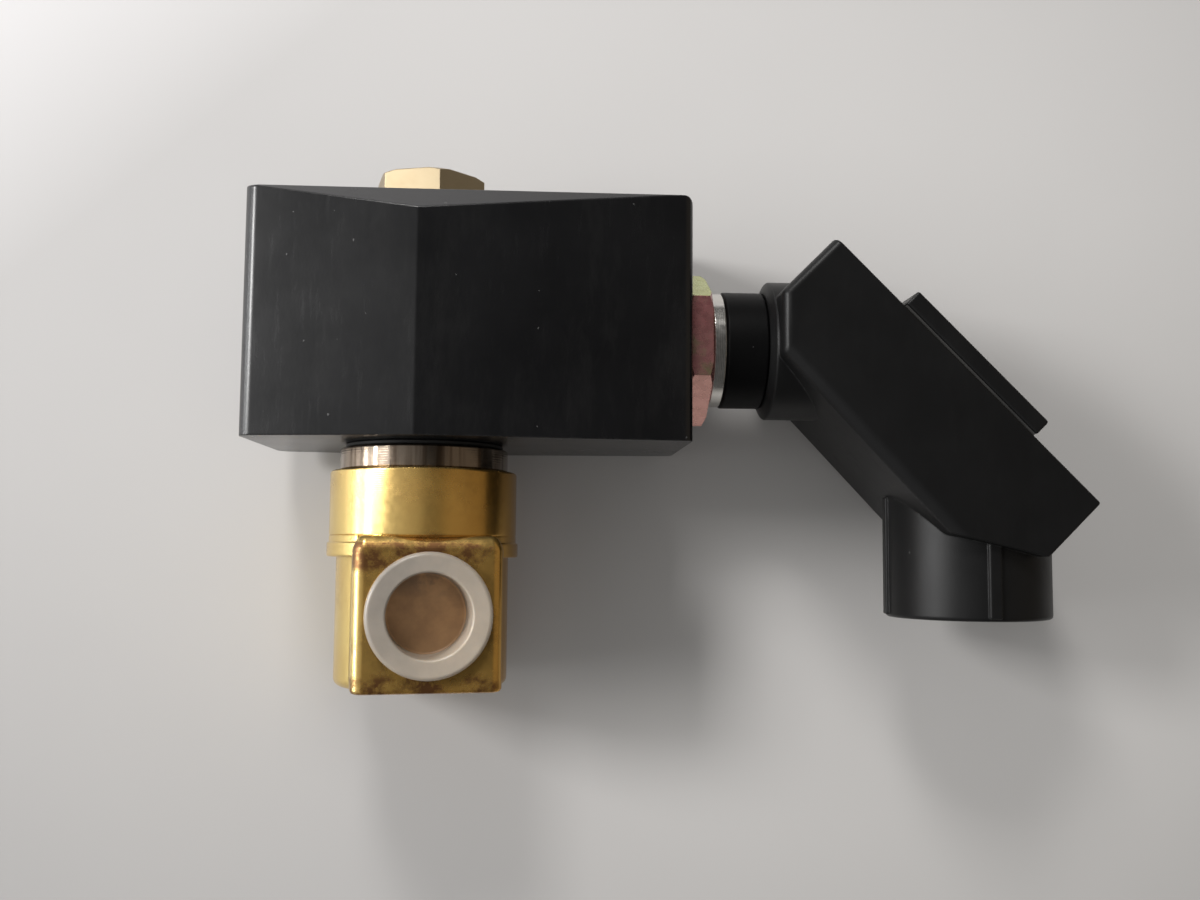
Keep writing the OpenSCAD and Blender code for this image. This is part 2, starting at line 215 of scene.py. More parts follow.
def thread(name, root, crest, start, end, pitch, matrix):
    """An internal thread ridge, root and crest being radii. It dies away at both ends."""
    turns = (end - start) / pitch
    steps = int(turns * 64)
    sunk = root + 0.06
    verts, faces = [], []
    for i in range(steps + 1):
        along = i / steps
        fade = min(1.0, along * turns / 0.5, (1 - along) * turns / 0.5)
        angle = 2 * math.pi * turns * along
        z = start + (end - start) * along
        top = root + (crest - root) * max(fade, 0.02)
        for radius, offset in ((sunk, -0.46), (top, -0.08), (top, 0.08), (sunk, 0.46)):
            verts.append((radius * MM * math.cos(angle), radius * MM * math.sin(angle),
                          (z + offset * pitch * max(fade, 0.3)) * MM))
    for i in range(steps):
        for j in range(4):
            a, b = 4 * i + j, 4 * i + (j + 1) % 4
            faces.append((a, b, b + 4, a + 4))
    faces += [(3, 2, 1, 0), tuple(4 * steps + j for j in range(4))]
    obj = build_mesh(name, verts, faces)
    obj.data.transform(matrix)
    return tidy(obj, 40, weighted=False)


# ---------------------------------------------------------------- node helpers
class Nodes:
    """Short calls that build the node tree of a material or world."""

    def __init__(self, owner, output, coord):
        self.owner = owner
        owner.use_nodes = True
        self.tree = owner.node_tree
        self.tree.nodes.clear()
        self.output = self.add(output)
        self.coord = self.add("ShaderNodeTexCoord").outputs[coord]

    def add(self, kind, **props):
        node = self.tree.nodes.new(kind)
        for key, value in props.items():
            setattr(node, key, value)
        return node

    def put(self, socket, value):
        """Links a socket to an output, or sets its value."""
        if hasattr(value, "is_output"):
            self.tree.links.new(value, socket)
        elif isinstance(value, (tuple, list)) and len(value) == 3 and socket.type == "RGBA":
            socket.default_value = (*value, 1.0)
        else:
            socket.default_value = value

    def mapped(self, vector, location, scale=(1, 1, 1)):
        node = self.add("ShaderNodeMapping")
        self.put(node.inputs["Vector"], vector)
        node.inputs["Scale"].default_value = scale
        node.inputs["Location"].default_value = location
        return node.outputs["Vector"]

    def noise(self, scale, detail, rough, stretch=None, seed=0.0, output="Fac"):
        vector = self.coord
        if stretch is not None or seed:
            vector = self.mapped(vector, (seed, seed * 1.7, seed * 0.3), stretch or (1, 1, 1))
        node = self.add("ShaderNodeTexNoise")
        self.put(node.inputs["Vector"], vector)
        node.inputs["Scale"].default_value = scale
        node.inputs["Detail"].default_value = detail
        node.inputs["Roughness"].default_value = rough
        return node.outputs[output]

    def ramp(self, fac, stops, interpolation="LINEAR"):
        node = self.add("ShaderNodeValToRGB")
        self.put(node.inputs["Fac"], fac)
        band = node.color_ramp
        band.interpolation = interpolation
        while len(band.elements) < len(stops):
            band.elements.new(0.5)
        for element, (position, colour) in zip(band.elements, stops):
            element.position = position
            element.color = (*colour, 1.0)
        return node.outputs["Color"]

    def calc(self, operation, a, b=0.0, clamp=False):
        node = self.add("ShaderNodeMath", operation=operation, use_clamp=clamp)
        self.put(node.inputs[0], a)
        self.put(node.inputs[1], b)
        return node.outputs[0]

    def plus(self, a, b, clamp=False):
        return self.calc("ADD", a, b, clamp)

    def times(self, first, *others):
        for other in others:
            first = self.calc("MULTIPLY", first, other)
        return first

    def vector(self, operation, *values):
        node = self.add("ShaderNodeVectorMath", operation=operation)
        for socket, value in zip(node.inputs, values):
            self.put(socket, value)
        return node.outputs

    def split(self, vector):
        """Outputs X, Y and Z of a vector."""
        node = self.add("ShaderNodeSeparateXYZ")
        self.put(node.inputs[0], vector)
        return node.outputs

    def facing(self):
        """Outputs X, Y and Z of the object-space normal."""
        return self.split(self.add("ShaderNodeTexCoord").outputs["Normal"])

    def remap(self, value, span, to=(0, 1)):
        node = self.add("ShaderNodeMapRange")
        self.put(node.inputs["Value"], value)
        for key, number in zip(("From Min", "From Max", "To Min", "To Max"), (*span, *to)):
            node.inputs[key].default_value = number
        return node.outputs["Result"]

    def mix(self, fac, a, b, blend="MIX"):
        node = self.add("ShaderNodeMix", data_type="RGBA", blend_type=blend)
        self.put(node.inputs[0], fac)
        self.put(node.inputs[6], a)
        self.put(node.inputs[7], b)
        return node.outputs[2]

    def multiply(self, tone, colour):
        return self.mix(1.0, tone, colour, "MULTIPLY")

    def tint(self, fac, tone, colour):
        """Multiplies the tone by a colour where fac is 1."""
        return self.mix(fac, tone, self.multiply(tone, colour))

    def bump(self, height, strength, distance, normal=None):
        node = self.add("ShaderNodeBump")
        node.inputs["Strength"].default_value = strength
        node.inputs["Distance"].default_value = distance
        self.put(node.inputs["Height"], height)
        if normal is not None:
            self.put(node.inputs["Normal"], normal)
        return node.outputs["Normal"]

    def edge_normal(self, radius):
        node = self.add("ShaderNodeBevel", samples=6)
        node.inputs["Radius"].default_value = radius
        return node.outputs["Normal"]

    def specks(self, coord, scale, share, size, seed):
        """Sparse small marks: 1 on a mark, 0 elsewhere."""
        cells = self.add("ShaderNodeTexVoronoi")
        self.put(cells.inputs["Vector"], self.mapped(coord, (seed, seed, seed)))
        cells.inputs["Scale"].default_value = scale
        near = self.calc("LESS_THAN", cells.outputs["Distance"], size)
        channels = self.add("ShaderNodeSeparateColor")
        self.put(channels.inputs[0], cells.outputs["Color"])
        return self.times(near, self.calc("LESS_THAN", channels.outputs[0], share))

    def principled(self, **inputs):
        node = self.add("ShaderNodeBsdfPrincipled")
        for key, value in inputs.items():
            self.put(node.inputs[key.replace("_", " ")], value)
        return node.outputs[0]

    def finish(self, surface):
        self.put(self.output.inputs["Surface"], surface)
        return self.owner

    def shader(self, **inputs):
        return self.finish(self.principled(**inputs))


def new_material(name):
    return Nodes(bpy.data.materials.new(name), "ShaderNodeOutputMaterial", "Object")


def scaled(colour, factor):
    return tuple(factor * c for c in colour)


# ---------------------------------------------------------------- materials
def plastic(name, base, rough, grain, dust, wear, spec=0.5, grain_depth=0.000018):
    """Grained plastic with a dust film, small marks and edges worn to the wear colour."""
    mat = new_material(name)
    broad = mat.noise(scale=48, detail=4, rough=0.6, seed=3.1)
    tone = mat.mix(mat.remap(broad, span=(0.3, 0.7)), scaled(base, 0.86), scaled(base, 1.16))
    film = mat.noise(scale=130, detail=7, rough=0.75, stretch=(1, 1, 0.30), seed=8.2)
    film = mat.remap(film, span=(0.50, 0.80), to=(0, 0.020 * dust))
    tone = mat.mix(film, tone, (0.30, 0.29, 0.27))
    # marks lie on wavering coordinates, so that they aren't round
    waver = mat.noise(scale=1500, detail=2, rough=0.5, output="Color")
    bent = mat.vector("MULTIPLY_ADD", waver, (0.0007, 0.0007, 0.0010), mat.coord)[0]
    small = mat.specks(bent, scale=900, share=0.022 * dust, size=0.14, seed=1.3)
    large = mat.specks(bent, scale=430, share=0.007 * dust, size=0.09, seed=5.7)
    marks = mat.calc("MAXIMUM", small, large)
    tone = mat.mix(mat.times(marks, 0.16), tone, (0.30, 0.30, 0.29))
    # edges are where the rounded normal leaves the true one
    soft = mat.edge_normal(radius=0.00035)
    true_normal = mat.add("ShaderNodeNewGeometry").outputs["Normal"]
    edge = mat.remap(mat.vector("DOT_PRODUCT", soft, true_normal)["Value"], span=(0.995, 0.90))
    patchy = mat.noise(scale=420, detail=4, rough=0.7, seed=2.2)
    worn = mat.times(edge, mat.remap(patchy, span=(0.42, 0.62), to=(0.05, 0.55)))
    tone = mat.mix(worn, tone, wear)
    fine = mat.noise(scale=grain, detail=3, rough=0.6)
    scuff = mat.noise(scale=90, detail=5, rough=0.75, stretch=(7, 7, 1), seed=4.4)
    rough = mat.plus(mat.remap(broad, span=(0.3, 0.7), to=(rough - 0.03, rough + 0.04)),
                     mat.times(marks, 0.25))
    scuffed = mat.remap(scuff, span=(0.55, 0.75), to=(0, 0.06))
    rough = mat.plus(rough, scuffed, clamp=True)
    normal = mat.bump(fine, strength=0.45, distance=grain_depth, normal=soft)
    dents = mat.noise(scale=120, detail=2, rough=0.5, seed=6.6)
    normal = mat.bump(dents, strength=0.22, distance=0.00006, normal=normal)
    return mat.shader(Base_Color=tone, Roughness=rough, Normal=normal, Specular_IOR_Level=spec)


def brown_stains(mat, amount):
    """Stain mask, heaviest on the front port face, and the mask of that face."""
    patch = mat.noise(scale=150, detail=6, rough=0.74, seed=6.3)
    place = mat.split(mat.coord)
    face = mat.remap(place["Y"], span=(-0.0128, -0.0142))
    block = mat.remap(place["Z"], span=(0.0262, 0.0254))
    high = mat.times(mat.remap(place["Z"], span=(0.0192, 0.0215)), face,
                     mat.remap(place["Z"], span=(0.0246, 0.0236)))
    foot = mat.times(mat.remap(place["Z"], span=(0.0034, 0.0010), to=(0, 1.15)), face)
    where = mat.plus(mat.calc("MAXIMUM", high, foot),
                     mat.plus(mat.times(face, block, 0.30), 0.20), clamp=True)
    spread = mat.plus(patch, mat.times(where, 0.22))
    return mat.times(mat.remap(spread, span=(0.60, 0.74), to=(0, amount)), where), face


def metal(name, base, rough, tarnish, tint=None, turned=None, axis="Z", spots=0.2, pits=0.0,
          metallic=1.0, stains=0.0, warm=None, streaks=0.0):
    """turned is the pitch in metres of the tool marks left round the given axis."""
    mat = new_material(name)
    broad = mat.noise(scale=70, detail=5, rough=0.62, seed=1.9)
    tone = mat.mix(mat.remap(broad, span=(0.35, 0.72), to=(0, tarnish)), base,
                   tint or scaled(base, 0.55))
    if streaks:
        # brown streaks that run along Z
        band = mat.noise(scale=620, detail=3, rough=0.6, stretch=(1, 1, 0.03), seed=2.7)
        band = mat.remap(band, span=(0.44, 0.60), to=(0, streaks))
        tone = mat.tint(band, tone, (0.40, 0.33, 0.27))
    if warm:
        # painted shade: a warmer, deeper tone on the sides that look right and down, and darker
        # still on the sides that look right, a painted reflection of the shaded table
        way = mat.facing()
        shaded_side = mat.calc("SUBTRACT", way["X"], mat.times(way["Z"], 0.4))
        tone = mat.tint(mat.remap(shaded_side, span=(-0.45, 0.30)), tone, warm)
        tone = mat.tint(mat.remap(way["X"], span=(0.62, 0.84)), tone, (0.70, 0.68, 0.66))
    spot = mat.specks(mat.coord, scale=260, share=0.05 * spots, size=0.2, seed=2.4)
    tone = mat.mix(mat.times(spot, 0.6), tone, scaled(base, 0.25))
    fine = mat.noise(scale=900, detail=3, rough=0.6, seed=7.3)
    rough = mat.plus(mat.remap(broad, span=(0.3, 0.7), to=(rough * 0.8, rough * 1.25)),
                     mat.remap(fine, span=(0.35, 0.65), to=(-0.03, 0.04)))
    smudge = mat.noise(scale=28, detail=3, rough=0.5, seed=5.5)
    rough = mat.plus(rough, mat.remap(smudge, span=(0.5, 0.75), to=(0, 0.10)), clamp=True)
    normal = mat.edge_normal(radius=0.00025)
    if turned:
        along = mat.split(mat.coord)[axis]
        waver = mat.times(mat.noise(scale=60, detail=2, rough=0.5, seed=9.1), turned * 0.8)
        lines = mat.calc("SINE", mat.times(mat.plus(along, waver), 2 * math.pi / turned))
        stretch = tuple(1 if letter == axis else 0.02 for letter in "XYZ")
        streak = mat.noise(scale=4200, detail=3, rough=0.65, stretch=stretch, seed=3.3)
        normal = mat.bump(lines, strength=0.22, distance=0.000006, normal=normal)
        normal = mat.bump(streak, strength=0.30, distance=0.000008, normal=normal)
    else:
        texture = mat.noise(scale=1500, detail=4, rough=0.7, seed=3.3)
        normal = mat.bump(texture, strength=0.25, distance=0.000008, normal=normal)
    if pits:
        pitting = mat.noise(scale=420, detail=5, rough=0.7, seed=4.9)
        normal = mat.bump(pitting, strength=pits, distance=0.00004, normal=normal)
    if stains:
        stain, face = brown_stains(mat, stains)
        tone = mat.mix(stain, tone, (0.15, 0.058, 0.026))
        rough = mat.plus(rough, mat.times(stain, 0.18), clamp=True)
        # the front port face is duller, as a film of oxide lies on it
        metallic = mat.calc("SUBTRACT", metallic, mat.times(face, 0.13))
    return mat.shader(Base_Color=tone, Roughness=rough, Metallic=metallic, Normal=normal)


def rubber(name):
    mat = new_material(name)
    broad = mat.noise(scale=160, detail=4, rough=0.6)
    tone = mat.mix(mat.remap(broad, span=(0.35, 0.7)),
                   (0.018, 0.018, 0.018), (0.035, 0.034, 0.032))
    fine = mat.noise(scale=3800, detail=3, rough=0.6)
    return mat.shader(Base_Color=tone,
                      Roughness=mat.remap(broad, span=(0.3, 0.7), to=(0.55, 0.75)),
                      Normal=mat.bump(fine, strength=0.4, distance=0.00001))


# (position, colour) from faces that look down to faces that look up: the hues are the zinc
# finish's own, while the lighter faces that look up and down and the darker ones that look ahead
# are painted light and shade
ZINC_HUES_AND_SHADE = [(0.0, (0.84, 0.46, 0.40)), (0.30, (0.78, 0.43, 0.37)), (0.45, (0.50, 0.20, 0.20)),
              (0.57, (0.46, 0.21, 0.20)), (0.66, (0.38, 0.28, 0.18)), (0.82, (0.50, 0.52, 0.20)),
              (1.0, (0.58, 0.62, 0.26))]


def yellow_zinc(name):
    """Yellow passivated zinc: pink, straw and green patches that follow the way a face looks,
    partly the finish's own hues and partly painted light and shade.
    """
    mat = new_material(name)
    up = mat.facing()["Z"]
    patch = mat.noise(scale=190, detail=3, rough=0.6, seed=2.0)
    drift = mat.plus(mat.remap(up, span=(-1, 1)),
                     mat.remap(patch, span=(0.3, 0.7), to=(-0.16, 0.16)), clamp=True)
    tone = mat.ramp(drift, ZINC_HUES_AND_SHADE)
    rough = mat.noise(scale=600, detail=4, rough=0.6, seed=1.0)
    rough = mat.remap(rough, span=(0.3, 0.7), to=(0.20, 0.34))
    fine = mat.noise(scale=2400, detail=3, rough=0.6)
    normal = mat.bump(fine, strength=0.3, distance=0.000008,
                      normal=mat.edge_normal(radius=0.00025))
    return mat.shader(Base_Color=tone, Roughness=rough, Metallic=0.75, Normal=normal)


def cap_plastic(name):
    """Pale translucent plastic, with painted light and shade: darker towards the upper left and
    lighter towards the lower right.
    """
    mat = new_material(name)
    broad = mat.noise(scale=300, detail=3, rough=0.6)
    tone = mat.mix(mat.remap(broad, span=(0.3, 0.7)), (0.42, 0.372, 0.322), (0.49, 0.432, 0.37))
    place = mat.split(mat.coord)
    # painted light and shade across the cap: darker upper left, lighter lower right
    painted_light_across = mat.calc("SUBTRACT", mat.times(place["X"], 1.7), place["Z"])
    tone = mat.mix(mat.remap(painted_light_across, span=(-0.028, 0.010)),
                   mat.multiply(tone, (0.74, 0.75, 0.76)), mat.multiply(tone, (1.24, 1.20, 1.12)))
    fine = mat.noise(scale=1400, detail=3, rough=0.6)
    return mat.shader(Base_Color=tone, Roughness=0.34,
                      Normal=mat.bump(fine, strength=0.25, distance=0.00001),
                      Subsurface_Weight=0.35, Subsurface_Scale=0.0015,
                      Subsurface_Radius=(1.0, 0.8, 0.6), Transmission_Weight=0.18, IOR=1.5)


def cap_floor(name):
    """Orange-brown floor of the cap, darker low down, with painted shadow in patches along the
    top.
    """
    mat = new_material(name)
    broad = mat.noise(scale=300, detail=3, rough=0.6)
    tone = mat.mix(mat.remap(broad, span=(0.35, 0.7)), (0.66, 0.385, 0.185), (0.50, 0.285, 0.135))
    height = mat.split(mat.coord)["Z"]
    tone = mat.tint(mat.remap(height, span=(0.0125, 0.0070)), tone, (0.64, 0.64, 0.64))
    # painted shadow of the cup's upper wall, in patches along the top of the floor
    patch = mat.noise(scale=260, detail=3, rough=0.6, seed=8.8)
    rim_shadow = mat.times(mat.remap(height, span=(0.0150, 0.0178)),
                    mat.remap(patch, span=(0.40, 0.56)))
    tone = mat.mix(mat.times(rim_shadow, 0.55), tone, (0.13, 0.105, 0.085))
    fine = mat.noise(scale=1600, detail=3, rough=0.6)
    return mat.shader(Base_Color=tone, Roughness=0.42,
                      Normal=mat.bump(fine, strength=0.3, distance=0.00001))


def wire_insulation(name, base):
    mat = new_material(name)
    broad = mat.noise(scale=400, detail=3, rough=0.6, stretch=(0.1, 1, 1))
    tone = mat.mix(mat.remap(broad, span=(0.35, 0.7)), base, scaled(base, 0.7))
    fine = mat.noise(scale=2500, detail=2, rough=0.5)
    return mat.shader(Base_Color=tone,
                      Roughness=mat.remap(broad, span=(0.3, 0.7), to=(0.32, 0.45)),
                      Normal=mat.bump(fine, strength=0.2, distance=0.00001))


def wound_copper(name, wire_pitch=0.00022):
    mat = new_material(name)
    height = mat.split(mat.coord)["Z"]
    wave = mat.calc("SINE", mat.times(height, 2 * math.pi / wire_pitch))
    broad = mat.noise(scale=150, detail=3, rough=0.6)
    tone = mat.mix(mat.remap(broad, span=(0.3, 0.7)), (0.66, 0.30, 0.13), (0.42, 0.16, 0.07))
    return mat.shader(Base_Color=tone, Roughness=0.3, Metallic=0.85,
                      Normal=mat.bump(wave, strength=0.8, distance=0.00005))


COIL = plastic("coil_plastic", base=(0.0046, 0.0046, 0.0051), rough=0.24, grain=2300, dust=1.0,
               wear=(0.07, 0.07, 0.07), grain_depth=0.000012)
ELBOW = plastic("elbow_plastic", base=(0.0058, 0.0058, 0.0060), rough=0.40, grain=3000,
                dust=0.35, wear=(0.05, 0.05, 0.05), spec=0.22)
# a duller, darker copy of the elbow plastic; its darker base is painted shade on the sleeve
# between the coil and the elbow
SHADED_SLEEVE = plastic("sleeve_plastic_painted_shade", base=(0.0022, 0.0022, 0.0024), rough=0.46, grain=3000,
                 dust=0.3, wear=(0.02, 0.02, 0.02), spec=0.10)
# warm is painted shade on the brass: a warmer, deeper tone on the sides that look right and down
BRASS = metal("body_brass", base=(0.76, 0.58, 0.22), rough=0.21, tint=(0.56, 0.34, 0.11),
              turned=0.00035, tarnish=0.55, spots=0.5, pits=0.05, metallic=0.94, stains=0.9,
              warm=(1.08, 0.84, 0.54))
NUT_BRASS = metal("nut_brass", base=(0.385, 0.315, 0.205), rough=0.36, tint=(0.30, 0.22, 0.12),
                  tarnish=0.4, spots=0.5, metallic=0.9, stains=0.2)
NICKEL = metal("nickel_plate", base=(0.31, 0.25, 0.195), rough=0.14, tint=(0.25, 0.19, 0.135),
               turned=0.0004, tarnish=0.55, spots=0.6, metallic=0.9, streaks=0.9)
NICKEL_X = metal("nickel_plate_x", base=(0.80, 0.78, 0.74), rough=0.20, turned=0.0003, axis="X",
                 tarnish=0.3)
STAINLESS = metal("stainless", base=(0.60, 0.60, 0.59), rough=0.28, turned=0.0004, tarnish=0.25)
MAGNET = metal("magnet_steel", base=(0.52, 0.53, 0.54), rough=0.32, turned=0.0003, tarnish=0.3)
ZINC = metal("zinc_steel", base=(0.62, 0.63, 0.65), rough=0.30, tarnish=0.35, spots=0.4)
YELLOW_ZINC = yellow_zinc("yellow_zinc")
COPPER = metal("copper", base=(0.72, 0.36, 0.20), rough=0.25, tarnish=0.3)
WOUND = wound_copper("wound_copper")
BOBBIN = plastic("bobbin_plastic", base=(0.62, 0.58, 0.46), rough=0.5, grain=2600, dust=0.0,
                 wear=(0.8, 0.78, 0.7))
RUBBER = rubber("seal_rubber")
RED = wire_insulation("lead_red", base=(0.42, 0.035, 0.03))
GREEN = wire_insulation("lead_green", base=(0.20, 0.40, 0.06))
CAP = cap_plastic("cap_plastic")
CAP_FLOOR = cap_floor("cap_floor")

NODE_MATERIALS = {
    "valve_body": BRASS, "bonnet_nut": NICKEL, "guide_tube": STAINLESS, "body_o_ring": RUBBER,
    "fixed_core": MAGNET, "shading_ring": COPPER, "plunger_spring": STAINLESS,
    "coil_seal": RUBBER, "top_washer": ZINC, "coil_nut": NUT_BRASS, "plunger": MAGNET,
    "seal_disc": RUBBER, "coil_housing": COIL, "bobbin": BOBBIN, "winding": WOUND,
    "yoke_frame": ZINC, "yoke_plate": ZINC, "coil_leads": RED, "earth_lead": GREEN,
    "lead_caps": BOBBIN, "conduit_nipple": YELLOW_ZINC, "nipple_gasket": RUBBER,
    "nipple_washer": NICKEL_X, "retaining_ring": STAINLESS, "elbow_housing": ELBOW,
    "swivel_sleeve": SHADED_SLEEVE, "sleeve_o_ring": RUBBER, "elbow_cover": ELBOW,
    "cover_gasket": RUBBER, "cover_screws": ZINC, "inlet_cap": CAP,
}
for name, obj in nodes.items():
    material = NODE_MATERIALS[name]
    if not obj.material_slots:
        obj.data.materials.append(material)
    for material_slot in obj.material_slots:
        material_slot.material = material


def finish_piece(obj, body, slot, *materials):
    obj.data.materials.clear()
    for material in materials:
        obj.data.materials.append(material)
    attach(obj, body)
    return obj


def mm_box(node):
    low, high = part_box(node)
    return Vector(low) * 1000, Vector(high) * 1000


# ---------------------------------------------------------------- coil block
coil_low, coil_high = mm_box("coil_housing")
CORNER_Y = 16.2     # half width at the left and right ends
TIP_DROP = 4.4      # the front and back tips, at x = 0, stand this much lower


def round_edges(bm, edges, radius, segments):
    bmesh.ops.bevel(bm, geom=edges, offset=radius * MM, segments=segments, profile=0.5,
                    affect="EDGES", clamp_overlap=True)


def coil_block():
    left, right, tip = coil_low.x, coil_high.x, coil_high.y
    bottom, top = coil_low.z, coil_high.z
    ring = [(left, -CORNER_Y), (0, -tip), (right, -CORNER_Y),
            (right, CORNER_Y), (0, tip), (left, CORNER_Y)]
    verts = [(x * MM, y * MM, bottom * MM) for x, y in ring]
    verts += [(x * MM, y * MM, (top if x else top - TIP_DROP) * MM) for x, y in ring]
    faces = [(5, 4, 3, 2, 1, 0)] + [(k, (k + 1) % 6, 6 + (k + 1) % 6, 6 + k) for k in range(6)]
    faces += [(6, 8, 9, 11), (6, 7, 8), (9, 10, 11)]
    obj = build_mesh("coil_shell", verts, faces)

    def upright_left(edge):
        a, b = (v.co for v in edge.verts)
        return abs(a.x - b.x) < 1e-6 and abs(a.y - b.y) < 1e-6 and a.x < -0.01

    def right_end(edge):
        """Every edge of the right end but the bottom one."""
        a, b = (v.co for v in edge.verts)
        return (all(abs(p.x - right * MM) < 1e-6 for p in (a, b))
                and (abs(a.z - b.z) > 0.01 or min(a.z, b.z) > bottom * MM + 1e-6))

    # the two ends are rounded more than the other edges
    bm = bmesh.new()
    bm.from_mesh(obj.data)
    round_edges(bm, [e for e in bm.edges if upright_left(e)], radius=2.3, segments=6)
    round_edges(bm, [e for e in bm.edges if right_end(e)], radius=1.6, segments=5)
    bm.to_mesh(obj.data)
    bm.free()
    bevel(obj, 0.45, angle=12)
    return tidy(obj, 50)


coil = finish_piece(coil_block(), "coil", "coil_plastic", COIL)
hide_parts("coil_housing")

# ---------------------------------------------------------------- brass body
TURN = Matrix.Rotation(math.radians(9.5), 4, "Z")
BLOCK_X, BLOCK_Y, BLOCK_TOP = 12.2, 15.7, 25.4      # half sizes and height of the block
PORT_Z, PORT_R = 12.5, 7.5
WAIST_R, COLLAR_R = 14.8, 16.1
COLLAR_TOP = mm_box("valve_body")[1].z
# (inset, height) up the sides of the block
BLOCK_ROWS = [(0.8, 0), (0.25, 0.2), (0, 0.7), (0, 22.9), (0.12, 23.5), (0.40, 24.2),
              (0.78, 24.85), (1.12, 25.2), (1.6, BLOCK_TOP)]


def port_axis(degrees):
    """+Z of a piece goes out through the front port face, or the back one at 180 degrees."""
    return (TURN @ Matrix.Rotation(math.radians(degrees), 4, "Z")
            @ Matrix.Translation((0, 0, PORT_Z * MM))
            @ Matrix.Rotation(math.radians(90), 4, "X"))


FRONT_PORT, BACK_PORT = port_axis(0), port_axis(180)


def block_ring(margin, z):
    outline = rounded(rectangle(-BLOCK_X + margin, -BLOCK_Y + margin,
                                BLOCK_X - margin, BLOCK_Y - margin), [1.9 - margin * 0.8] * 4, 6)
    return [upright(TURN @ Vector((*point, 0)), z) for point in outline]


def brass_body():
    block = loft("body_shell", [block_ring(margin, z) for margin, z in BLOCK_ROWS])
    # turned profiles are (radius, height)
    waist = rounded([(0, 0), (WAIST_R, 0), (WAIST_R, 22), (0, 22)], [0, 1.3, 0, 0])
    waist = lathe("waist", waist, 160)
    collar = rounded([(0, 21.8), (COLLAR_R + 0.35, 21.8), (COLLAR_R + 0.35, 24.1),
                      (COLLAR_R, 24.3), (COLLAR_R, COLLAR_TOP), (0, COLLAR_TOP)],
                     [0, 0.35, 0.25, 0.05, 0.55, 0])
    collar = lathe("collar", collar, 192)
    # the lower collar is cut flat at front and back
    slab = prism("slab", rectangle(-20, -11.3, 20, 11.3), 19, BLOCK_TOP - 0.05,
                 lambda point, z: TURN @ upright(point, z))
    skirt = lathe("skirt", [
        (0, BLOCK_TOP - 0.25), (COLLAR_R - 0.5, BLOCK_TOP - 0.25),
        (COLLAR_R - 0.05, BLOCK_TOP + 0.1), (COLLAR_R, BLOCK_TOP + 0.45),
        (COLLAR_R, COLLAR_TOP - 0.5), (COLLAR_R - 0.15, COLLAR_TOP - 0.15),
        (COLLAR_R - 0.5, COLLAR_TOP), (0, COLLAR_TOP)], 192)
    combine(collar, [slab], "INTERSECT")
    obj = combine(block, [waist, collar, skirt], "UNION")
    port = [(0, 3.6), (PORT_R - 2.2, 4.6), (PORT_R, 5.7), (PORT_R, BLOCK_Y - 0.95),
            (PORT_R + 1.0, BLOCK_Y + 0.05), (PORT_R + 1.0, BLOCK_Y + 3), (0, BLOCK_Y + 3)]
    well = [(0, 30.5), (12.0, 30.5), (12.0, COLLAR_TOP - 0.6), (12.7, COLLAR_TOP + 0.1),
            (12.7, COLLAR_TOP + 2), (0, COLLAR_TOP + 2)]
    holes = [lathe("port", port, 96, axis) for axis in (FRONT_PORT, BACK_PORT)]
    combine(obj, holes + [lathe("well", well, 96)])
    return tidy(obj, 35)


body = finish_piece(brass_body(), "valve", "body_brass", BRASS)
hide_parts("valve_body")
outlet_thread = thread("outlet_thread", PORT_R, PORT_R - 0.55, start=6.4, end=BLOCK_Y - 1.1,
                       pitch=1.34, matrix=BACK_PORT)
finish_piece(outlet_thread, "valve", "body_brass", BRASS)


# ---------------------------------------------------------------- front port cap
def front_cap():
    """A cup in the front port, with a flange on the port face."""
    outline = [(0, BLOCK_Y - 7.5), (7.42, BLOCK_Y - 7.5), (7.42, BLOCK_Y + 0.03),
               (10.3, BLOCK_Y + 0.03), (10.3, BLOCK_Y + 1.6), (6.95, BLOCK_Y + 1.6),
               (6.75, BLOCK_Y - 6.4), (0, BLOCK_Y - 6.4)]
    outline = rounded(outline, [0, 0.6, 0.0, 0.45, 0.75, 0.40, 0.5, 0], 6)
    return tidy(lathe("transit_cap", outline, 128, FRONT_PORT), 50)


def cap_floor_faces(obj):
    """Indices of the faces at the bottom of the cup that look out of it."""
    to_port = FRONT_PORT.inverted()
    found = []
    for face in obj.data.polygons:
        centre = to_port @ face.center
        if (centre.z * 1000 < BLOCK_Y - 6.0 and math.hypot(centre.x, centre.y) * 1000 < 6.9
                and (to_port.to_3x3() @ face.normal).z > 0.5):
            found.append(face.index)
    return found


cap = front_cap()
floor_faces = cap_floor_faces(cap)
finish_piece(cap, "cap", "cap_plastic", CAP, CAP_FLOOR)
for i in floor_faces:
    cap.data.polygons[i].material_index = 1
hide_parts("inlet_cap")

# ---------------------------------------------------------------- conduit elbow
elbow_low, elbow_high = mm_box("elbow_housing")
HUB_X, HUB_R, HUB_BORE, HUB_BOTTOM = 96.6, 14.3, 9.3, elbow_low.z
SWIVEL_Z, SWIVEL_X = 59.0, elbow_low.x      # height of the swivel axis, and its left end
# the box is drawn in diagonal axes: (down and right, up and right)
BOX_HALF, COVER_FACE = 31.2, -7.1
BOX = [(-BOX_HALF, COVER_FACE), (BOX_HALF + 0.3, COVER_FACE), (BOX_HALF + 0.3, -20.0),
       (17.4, -28.8), (-23.6, -27.5), (-BOX_HALF, -20.0)]
BOX_Y = elbow_high.y if elbow_high.y < 16.05 else 16.0
COVER_MID, COVER_HALF, SCREW_OFFSET = 0.45, 15.5, 11.6
EASE = 2.2      # widest of the eased edges
AT_HUB = Matrix.Translation((HUB_X * MM, 0, 0))


